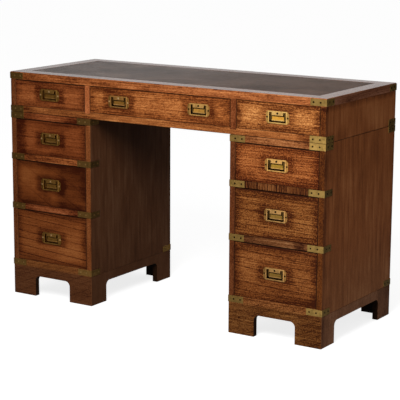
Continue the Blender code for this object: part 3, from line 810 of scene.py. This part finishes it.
def upright_wood(name, tone, box, seed):
    """An upright board, with upright grain and its front edge in a tone of its own."""
    inner = "inner" in name
    zones = [] if inner else [("z", *END_FADE, True, END_LOW_TONE)]
    zones.append(("y", STILE, SKIN_FADE, True, tone))
    dirt_and_shade = FRIEZE_DIRT_AND_SHADE if name.startswith("frieze") else PEDESTAL_DIRT_AND_SHADE
    return wood(name, INNER_SHADED_TONE if inner else END_TONE, box, "zxy", seed, UPRIGHT, zones,
                BOARD_STAINS_AND_SHADE.get(name, []), dirt_and_shade=dirt_and_shade, wear=0.20, front_flecks=1.0)


def plinth_wood(name, tone, box, seed):
    """A plinth: a rail above bracket feet, in painted shade under its arches, with ends in tones of their
    own.
    """
    low, high = box
    own, figure = PLINTHS[name]
    left_tone, right_tone = PLINTH_END_TONE, INNER_SHADED_TONE
    if name.startswith("right"):
        left_tone, right_tone = right_tone, left_tone
    zones = [
        ("z", high.z - RAIL_HEIGHT, PLINTH_FADE, False, tone),
        ("y", STILE, SKIN_FADE, False, ARCH_SHADE_TONE),
        ("y", BACK - FACE_SKIN, SKIN_FADE, False, own),
        ("x", low.x + END_SKIN, SKIN_FADE, True, left_tone),
        ("x", high.x - END_SKIN, SKIN_FADE, False, right_tone),
    ]
    return wood(name, own, box, "xyz", seed, figure, zones, BOARD_STAINS_AND_SHADE.get(name, []), wear=0.15,
                ends=("zxy", 0.30))


def rail_wood(name, tone, box, seed):
    """A level board, whose front edge shows as a rail and is darker beside its straps."""
    low, high = box
    crossed = name in CROSS_GRAINED
    zones = [("y", STILE, SKIN_FADE, True, tone)]
    away = (high.x - low.x) / 2 - STRAP_FRONT_LEG
    stains_and_shade = BOARD_STAINS_AND_SHADE.get(name, []) + [RAIL_END._replace(x=way * away) for way in (-1, 1)]
    return wood(name, HIDDEN_TONE, box, "zyx" if crossed else "xyz", seed, CROSSED if crossed else RAIL,
                zones, stains_and_shade, dirt_and_shade=RAIL_DIRT_AND_SHADOW)


def top_wood():
    """The top board, with its ends and its upper face in tones of their own."""
    low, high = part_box("top_board")
    zones = [
        ("x", high.x - END_SKIN, SKIN_FADE, False, TOP_END_TONE),
        ("x", low.x + END_SKIN, SKIN_FADE, True, TOP_END_TONE),
        ("z", high.z - END_SKIN, SKIN_FADE, False, TOP_FACE_TONE),
    ]
    return wood("top_board", TOP_EDGE_TONE, (low, high), "xyz", TOP_SEED, RAIL, zones, TOP_STAINS_AND_SHADE,
                wear=0.30, ends=("yxz", 0.60), specular=0.092, roughness=0.34)


def dress_case():
    """Uprights, plinths and rails, then the backs and the top."""
    for seed, (name, tone) in enumerate(FACE_TONES.items(), CASE_SEED):
        if name.endswith(("_side", "_end", "_divider")):
            make = upright_wood
        elif name.endswith("_plinth"):
            make = plinth_wood
        else:
            make = rail_wood
        finish_node(name, make(name, tone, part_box(name), seed))
    backs = sorted(name for name in nodes if name.endswith("_back"))
    for seed, name in enumerate(backs, BACK_SEED):
        finish_node(name, wood(name, BACK_TONE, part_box(name), "zyx", seed, UPRIGHT))
    finish_node("top_board", top_wood())


def add_object(name, bm, material):
    """A new object from a mesh in the making."""
    mesh = bpy.data.meshes.new(name)
    bm.to_mesh(mesh)
    bm.free()
    mesh.materials.append(material)
    made = bpy.data.objects.new(name, mesh)
    scene.collection.objects.link(made)
    return made


def add_mesh(name, bm, body, material):
    """A new piece of the desk that rides on a body."""
    bmesh.ops.recalc_face_normals(bm, faces=bm.faces)
    piece = add_object(name, bm, material)
    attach(piece, body)
    return piece


def extrude_outline(bm, outline, low, high):
    """A flat outline in X and Y, extruded along Z."""
    face = bm.faces.new([bm.verts.new((x, y, low)) for x, y in outline])
    grown = bmesh.ops.extrude_face_region(bm, geom=[face])["geom"]
    raised = [part for part in grown if isinstance(part, bmesh.types.BMVert)]
    bmesh.ops.translate(bm, vec=(0, 0, high - low), verts=raised)


def add_screw(bm, place, outward, turn, radius=SCREW_RADIUS):
    """A slotted screw head: a sunk disc and two raised half discs with the slot between them."""
    local = bmesh.new()
    seat = Matrix.Translation((0, 0, SCREW_BASE / 2))
    bmesh.ops.create_cone(local, cap_ends=True, segments=SCREW_SIDES, radius1=radius, radius2=radius,
                          depth=SCREW_BASE, matrix=seat)
    start = math.asin(SLOT_WIDTH / 2 / radius)
    steps = SCREW_SIDES // 2
    for half in (0, math.pi):
        outline = []
        for step in range(steps + 1):
            angle = half + start + (math.pi - 2 * start) * step / steps
            outline.append((radius * math.cos(angle), radius * math.sin(angle)))
        extrude_outline(local, outline, SCREW_BASE, SCREW_RISE)
    facing = Vector(outward).to_track_quat("Z", "Y").to_matrix().to_4x4()
    turned = Matrix.Translation(place) @ facing @ Matrix.Rotation(turn, 4, "Z")
    bmesh.ops.transform(local, verts=local.verts, matrix=turned)
    mesh = bpy.data.meshes.new("screw")
    local.to_mesh(mesh)
    local.free()
    bm.from_mesh(mesh)
    bpy.data.meshes.remove(mesh)


def add_strap(name, corner, inward, low, material, screws, seed):
    """An L-shaped strap round an upright corner. Inward is the way to the middle along each face."""
    x, y = corner
    dx, dy = inward
    out_x = x - dx * STRAP_THICKNESS
    out_y = y - dy * STRAP_THICKNESS
    seat_x = x - dx * STRAP_SEAT
    seat_y = y - dy * STRAP_SEAT
    end_x = x + dx * STRAP_FRONT_LEG
    end_y = y + dy * STRAP_SIDE_LEG
    front_leg = [(out_x, out_y), (end_x, out_y), (end_x, seat_y)]
    side_leg = [(seat_x, seat_y), (seat_x, end_y), (out_x, end_y)]
    bm = bmesh.new()
    extrude_outline(bm, front_leg + side_leg, low, low + STRAP_HEIGHT)
    bmesh.ops.bevel(bm, geom=bm.edges[:], offset=STRAP_EASE, segments=EDGE_SEGMENTS, profile=0.5,
                    affect="EDGES")
    add_mesh(name, bm, "desk", material)
    middle = low + STRAP_HEIGHT / 2
    for index, share in enumerate(SCREW_PLACES):
        turn = STRAP_TURN * seed + SCREW_TURN * index
        front = (x + dx * share * STRAP_FRONT_LEG, out_y, middle)
        side = (out_x, y + dy * share * STRAP_SIDE_LEG, middle)
        add_screw(screws, front, (0, -dy, 0), turn)
        add_screw(screws, side, (-dx, 0, 0), turn + SIDE_TURN)


def screw_brass(kind, tones):
    """Brass of the screws on each side of the desk."""
    return {side: brass(f"{side}_{kind}_screw_brass", tone, SCREW_SEED) for side, tone in tones.items()}


def strap_groups():
    """Boxes with straps, each with its levels as (label, height, whether the back has them too)."""
    low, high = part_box("top_board")
    margin = (high.z - low.z - STRAP_HEIGHT) / 2
    groups = {"top": ((low, high), [("top", low.z + margin, True)])}
    low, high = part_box("frieze_bottom_board")
    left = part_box("frieze_left_end")[0]
    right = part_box("frieze_right_end")[1]
    margin = (high.z - low.z - STRAP_HEIGHT) / 2
    groups["frieze"] = ((left, right), [("frieze", low.z + margin, True)])
    for side in ("left", "right"):
        low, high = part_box(f"{side}_pedestal_plinth")
        levels = []
        for label, at_back in RAIL_STRAPS.items():
            levels.append((label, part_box(f"{side}_pedestal_{label}")[0].z + margin, at_back))
        levels.append(("plinth", high.z - RAIL_HEIGHT + margin, True))
        groups[f"{side}_pedestal"] = ((low, high), levels)
    return groups


def strap_corners(low, high, at_back):
    """Upright corners of a box that have a strap: their labels, their place and the way inward."""
    depths = [("front", low.y, 1)]
    if at_back:
        depths.append(("back", high.y, -1))
    for label_x, x, dx in (("left", low.x, 1), ("right", high.x, -1)):
        for label_y, y, dy in depths:
            yield label_x, label_y, (x, y), (dx, dy)


def add_straps(screw_metals):
    """Brass straps round the corners of the top, the frieze and the pedestals."""
    seed = 0
    for group, ((low, high), levels) in strap_groups().items():
        heads = defaultdict(bmesh.new)
        for number, (label, level, at_back) in enumerate(levels):
            for label_x, label_y, place, inward in strap_corners(low, high, at_back):
                seed += 1
                side = "left" if place[0] < 0 else "right"
                corner = side + ("_outer" if place[0] * inward[0] < 0 else "_inner")
                # The front and side levels are painted light and shade
                side_level = SIDE_LEVELS[label]
                if label_y == "back":
                    side_level *= BACK_SHARES.get(corner, BACK_SHARE)
                tone, side_tone, front_levels = STRAPS[corner]
                tone = scaled(tone, [front_levels[label]] * 3)
                side_tone = scaled(side_tone, [side_level] * 3)
                name = f"{group}_strap_{number}_{label_y}_{label_x}"
                metal = brass(name, tone, seed, side_tone=side_tone)
                add_strap(name, place, inward, level, metal, heads[side], seed)
        for side, screws in heads.items():
            add_mesh(f"{group}_{side}_strap_screws", screws, "desk", screw_metals[side])


def dress_handle(stem, side, seed):
    """Brass of a handle: a plate with a duller flange and recess in painted shade with some tarnish, and a
    bail with a brighter grip, its top and arms in painted shade and a painted highlight along its lower
    edge.
    """
    start = next(start for start in HANDLE_TONES if stem.startswith(start))
    tone, grip, recess = HANDLE_TONES[start]
    plate = f"{stem}_plate"
    low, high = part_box(plate)
    # Painted shade, with some tarnish and grime, on the flange and in the recess
    painted_light_and_grime = [
        ("y", low.y, *FLANGE_DEPTH, scaled(tone, FLANGE_SHADES[side])),
        ("y", low.y, *RECESS_DEPTH, recess),
    ]
    finish_node(plate, brass(plate, tone, seed, painted_light_and_grime))
    bail = f"{stem}_bail"
    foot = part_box(bail)[0].z
    arm = [inner + ARM_SHARE * (outer - inner) for inner, outer in zip(recess, tone)]
    # Painted shade on the bail's top and arms
    painted_light_and_grime = [
        ("z", foot, *GRIP_EDGE, grip),
        ("z", foot, *GRIP_TOP, recess),
        ("x", (low.x + high.x) / 2, *GRIP_SIDE, arm),
    ]
    # The grip's lower edge is a painted highlight, partly worn brass
    edge_tone = scaled(tone, GRIP_EDGE_SHADES[side])
    finish_node(bail, brass(bail, edge_tone, seed + BAIL_SEED, painted_light_and_grime))


def add_handle_screws(stem, body, metal, seed):
    """A screw in each ear of a handle's plate and one in its tongue."""
    low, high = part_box(f"{stem}_plate")
    middle_x = (low.x + high.x) / 2
    middle_z = (low.z + high.z) / 2
    ear = (high.x - low.x) / 2 - EAR_SCREW
    screws = bmesh.new()
    for way in (-1, 1):
        place = (middle_x + way * ear, FRONT - EAR_FACE, middle_z)
        add_screw(screws, place, (0, -1, 0), seed + way)
    tongue = (middle_x, low.y, middle_z + TONGUE_SCREW)
    add_screw(screws, tongue, (0, -1, 0), TONGUE_TURN * seed, TONGUE_SCREW_RADIUS)
    add_mesh(f"{stem}_screws", screws, body, metal)


def dress_handles(screw_metals):
    """Handle plates and bails, with their screws."""
    drawers = [body for body in frame["bodies"] if body.endswith("_drawer")]
    plates = sorted(name for name in nodes if name.endswith("_handle_plate"))
    for seed, plate in enumerate(plates):
        stem = plate.removesuffix("_plate")
        low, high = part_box(plate)
        side = "left" if low.x + high.x < 0 else "right"
        drawer = next(body for body in drawers if stem.startswith(body.removesuffix("_drawer")))
        dress_handle(stem, side, seed)
        add_handle_screws(stem, drawer, screw_metals[side], seed)


def stations(low, high):
    """Places across a sheet: close together at its two edges and a cell apart between them."""
    inner = LEATHER_STEPS[-1]
    span = high - low - 2 * inner
    cells = round(span / LEATHER_CELL)
    near = [low + step for step in LEATHER_STEPS]
    between = [low + inner + span * index / cells for index in range(1, cells)]
    far = [high - step for step in reversed(LEATHER_STEPS)]
    return near + between + far


def rim(rows):
    """The points round the edge of a grid, in order."""
    right = [row[-1] for row in rows[1:]]
    far = rows[-1][-2::-1]
    left = [row[0] for row in rows[-2:0:-1]]
    return rows[0] + right + far + left


def add_leather():
    """The leather: a sheet glued into its recess, a little uneven, with its edges turned down."""
    low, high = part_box("leather_inset")
    xs = stations(low.x, high.x)
    ys = stations(low.y, high.y)

    def surface(x, y):
        edge = min(x - low.x, high.x - x, y - low.y, high.y - y)
        turn = max(0.0, 1.0 - edge / LEATHER_STEPS[-1])
        uneven = noise.noise(Vector((x * LEATHER_WAVES, y * LEATHER_WAVES, 0)))
        return high.z - LEATHER_ROLL * turn ** 3 + LEATHER_WAVE * (uneven - 1)

    bm = bmesh.new()
    top = [[bm.verts.new((x, y, surface(x, y))) for x in xs] for y in ys]
    bottom = [[bm.verts.new((x, y, low.z)) for x in xs] for y in ys]
    for rows in (top, bottom):
        for near, far in zip(rows, rows[1:]):
            for corners in zip(near, near[1:], far[1:], far):
                bm.faces.new(corners)
    upper = rim(top)
    lower = rim(bottom)
    for index in range(len(upper)):
        bm.faces.new((upper[index - 1], upper[index], lower[index], lower[index - 1]))
    sheet = add_mesh("leather_sheet", bm, "desk", leather())
    sheet.data.shade_smooth()
    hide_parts("leather_inset")


def seen_or_mirrored(tree):
    """1 for rays from the camera and for mirrored or refracted ones, else 0."""
    path = tree.nodes.new("ShaderNodeLightPath")
    value = path.outputs["Is Camera Ray"]
    for kind in ("Is Glossy Ray", "Is Transmission Ray"):
        greater = tree.nodes.new("ShaderNodeMath")
        greater.operation = "MAXIMUM"
        tree.links.new(value, greater.inputs[0])
        tree.links.new(path.outputs[kind], greater.inputs[1])
        value = greater.outputs[0]
    return value


def mix_shaders(tree, unseen, seen, output):
    """One shader for the rays that light the desk, and another for those that are seen or mirrored."""
    mixed = tree.nodes.new("ShaderNodeMixShader")
    tree.links.new(seen_or_mirrored(tree), mixed.inputs[0])
    tree.links.new(unseen.outputs[0], mixed.inputs[1])
    tree.links.new(seen.outputs[0], mixed.inputs[2])
    tree.links.new(mixed.outputs[0], output.inputs["Surface"])


def bare_material(name):
    """A new material with nothing but its output, and its node tree."""
    material = bpy.data.materials.new(name)
    material.use_nodes = True
    tree = material.node_tree
    tree.nodes.remove(tree.nodes["Principled BSDF"])
    return material, tree


def matt(tree, level):
    """A grey matt shader."""
    shader = tree.nodes.new("ShaderNodeBsdfDiffuse")
    shader.inputs["Color"].default_value = (level, level, level, 1.0)
    return shader


def glowing(tree, level):
    """A shader that glows white at a level."""
    shader = tree.nodes.new("ShaderNodeEmission")
    shader.inputs["Strength"].default_value = level
    return shader


def add_world():
    """White to the eye and in reflections, and a soft even light on the desk."""
    world = bpy.data.worlds.new("studio")
    world.use_nodes = True
    tree = world.node_tree
    soft = tree.nodes["Background"]
    white = tree.nodes.new("ShaderNodeBackground")
    for shader, level in ((soft, WORLD_LEVEL), (white, 1.0)):
        shader.inputs["Color"].default_value = (1.0, 1.0, 1.0, 1.0)
        shader.inputs["Strength"].default_value = level
    mix_shaders(tree, soft, white, tree.nodes["World Output"])
    scene.world = world


def add_floor():
    """A pale floor that keeps a faint shadow and throws little light back."""
    bm = bmesh.new()
    bmesh.ops.create_grid(bm, x_segments=4, y_segments=4, size=FLOOR_SIZE / 2)
    material, tree = bare_material("pale_floor")
    pale = tree.nodes.new("ShaderNodeAddShader")
    tree.links.new(matt(tree, FLOOR_DIFFUSE).outputs[0], pale.inputs[0])
    tree.links.new(glowing(tree, FLOOR_GLOW).outputs[0], pale.inputs[1])
    bounce = matt(tree, FLOOR_BOUNCE)
    mix_shaders(tree, bounce, pale, tree.nodes["Material Output"])
    floor = add_object("floor", bm, material)
    floor.location.z = -FLOOR_DROP


def add_cards():
    """Flat cards that shape what the polish and the brass mirror."""
    for name, (level, corners) in CARDS.items():
        bm = bmesh.new()
        bm.faces.new([bm.verts.new(corner) for corner in corners])
        material, tree = bare_material(name)
        tree.links.new(glowing(tree, level).outputs[0], tree.nodes["Material Output"].inputs["Surface"])
        card = add_object(name, bm, material)
        card.visible_camera = False
        card.visible_diffuse = False
        card.visible_transmission = False
        card.visible_shadow = False


def add_key_light():
    """A soft lamp in front, on the right, that mirrored rays do not see."""
    lamp = bpy.data.lights.new("key", "AREA")
    lamp.shape = "SQUARE"
    lamp.size = KEY_SIZE
    lamp.energy = KEY_POWER
    key = bpy.data.objects.new("key", lamp)
    key.location = KEY_PLACE
    key.rotation_euler = (KEY_AIM - KEY_PLACE).to_track_quat("-Z", "Y").to_euler()
    key.visible_glossy = False
    scene.collection.objects.link(key)


def add_camera():
    """The photograph's view."""
    data = bpy.data.cameras.new("camera")
    data.sensor_width = SENSOR_WIDTH
    data.lens = FOCAL_PIXELS / IMAGE_SIDE * SENSOR_WIDTH
    camera = bpy.data.objects.new("camera", data)
    turned = Matrix.Rotation(CAMERA_AZIMUTH, 4, "Z")
    raised = Matrix.Rotation(math.pi / 2 - CAMERA_ELEVATION, 4, "X")
    rolled = Matrix.Rotation(CAMERA_ROLL, 4, "Z")
    away = Matrix.Translation((0, 0, CAMERA_DISTANCE))
    camera.matrix_world = Matrix.Translation(CAMERA_TARGET) @ turned @ raised @ rolled @ away
    scene.collection.objects.link(camera)
    scene.camera = camera


dress_drawers()
dress_case()
add_leather()
add_straps(screw_brass("strap", STRAP_SCREW_TONES))
dress_handles(screw_brass("handle", HANDLE_SCREW_TONES))
add_world()
add_floor()
add_cards()
add_key_light()
add_camera()
scene.view_settings.view_transform = "Standard"
